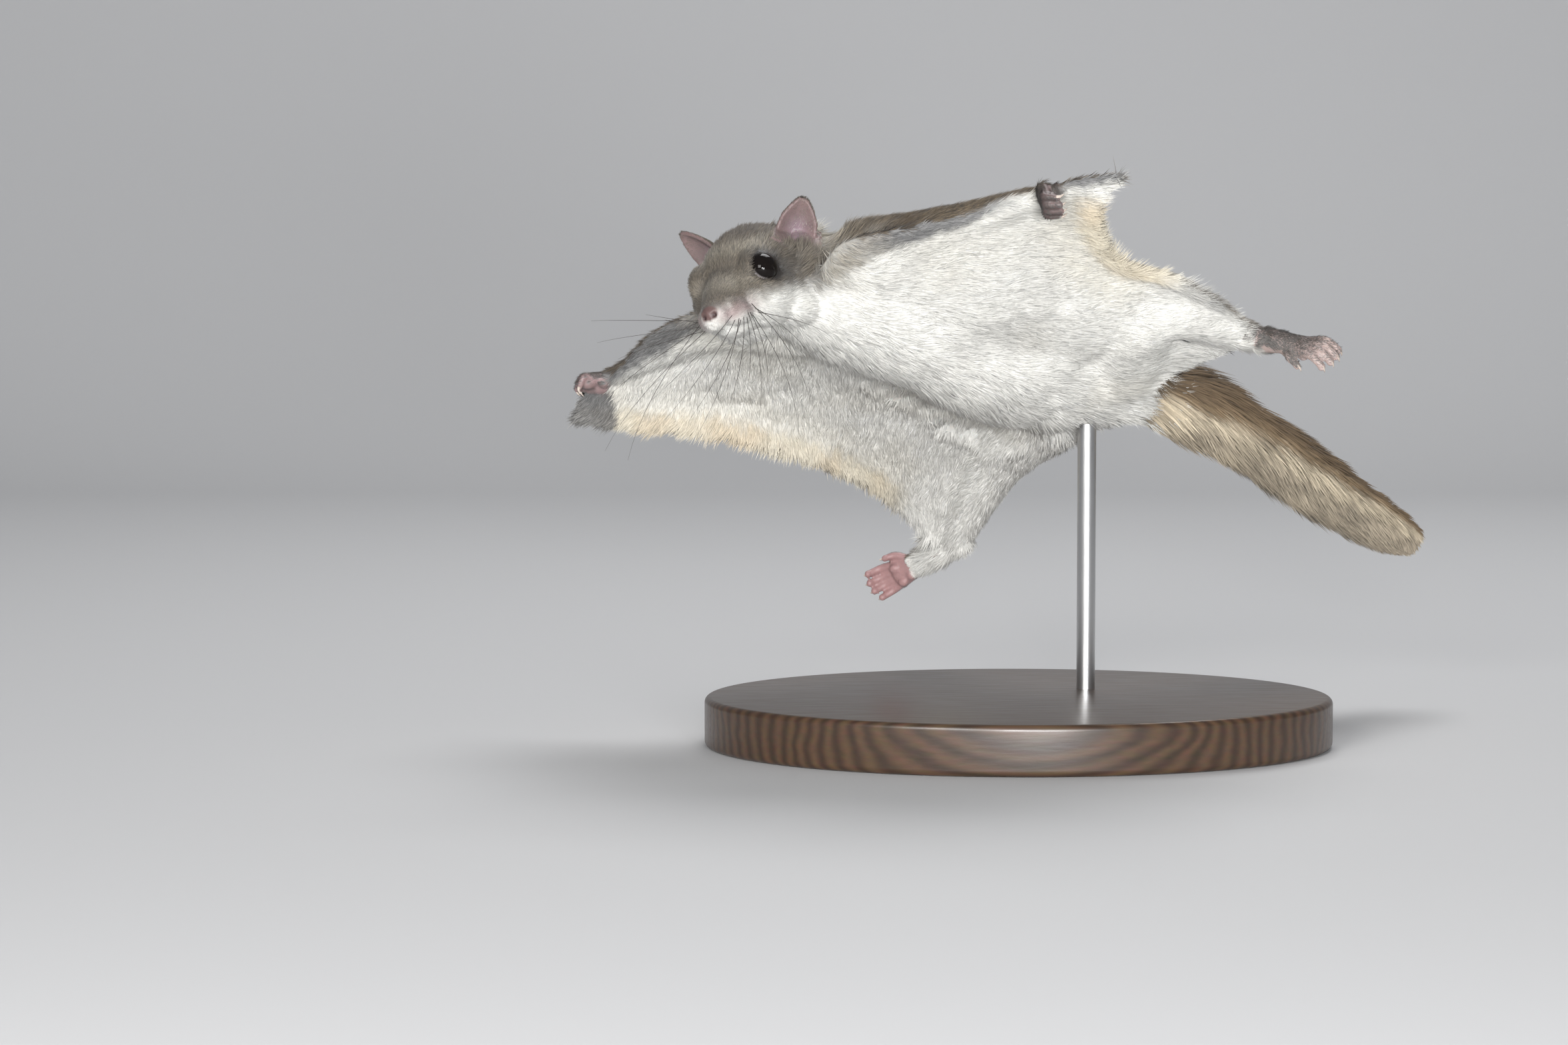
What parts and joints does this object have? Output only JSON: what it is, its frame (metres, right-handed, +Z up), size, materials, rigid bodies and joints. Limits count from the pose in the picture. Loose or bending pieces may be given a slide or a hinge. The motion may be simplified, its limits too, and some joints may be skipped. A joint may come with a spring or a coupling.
{
  "type": "flying squirrel model on a display stand",
  "caption": "Life-size still model of a flying squirrel gliding with its limbs and skin folds spread and its flat furry tail behind, on a rod above an oval base.",
  "frame": {"origin": "centre of the underside of the stand's oval base, on the surface that it stands on", "axes": "+Z up, +X along the base's long side towards the tail, +Y away from the side that the picture shows; the animal glides towards -X and -Y with its nose up"},
  "size_m": [0.2141, 0.1524, 0.1376],
  "materials": {
    "head_fur": "short soft fur, grizzled olive brown-grey above, pale grey to white on the cheeks and throat",
    "body_fur": "short soft fur, off-white below, brown-grey above, cream and buff along the free edges of the skin folds",
    "tail_fur": "long soft fur, brown above, buff-grey below",
    "bare_skin": "thin bare pink skin with fine creases",
    "eye": "wet gloss black",
    "stand_wood": "dark satin-varnished hardwood",
    "stand_steel": "brushed steel rod"
  },
  "bodies": {
    "root": {"head": "head_fur", "neck": "body_fur", "torso": "body_fur", "arm_left": "body_fur", "arm_right": "body_fur", "leg_left": "body_fur", "leg_right": "body_fur", "patagium_left": "body_fur", "patagium_right": "body_fur", "tail": "tail_fur", "ear_left": "bare_skin", "ear_right": "bare_skin", "hand_left": "bare_skin", "hand_right": "bare_skin", "foot_left": "bare_skin", "foot_right": "bare_skin", "eye_left": "eye", "eye_right": "eye", "stand_base": "stand_wood", "stand_rod": "stand_steel"}
  },
  "joints": []
}
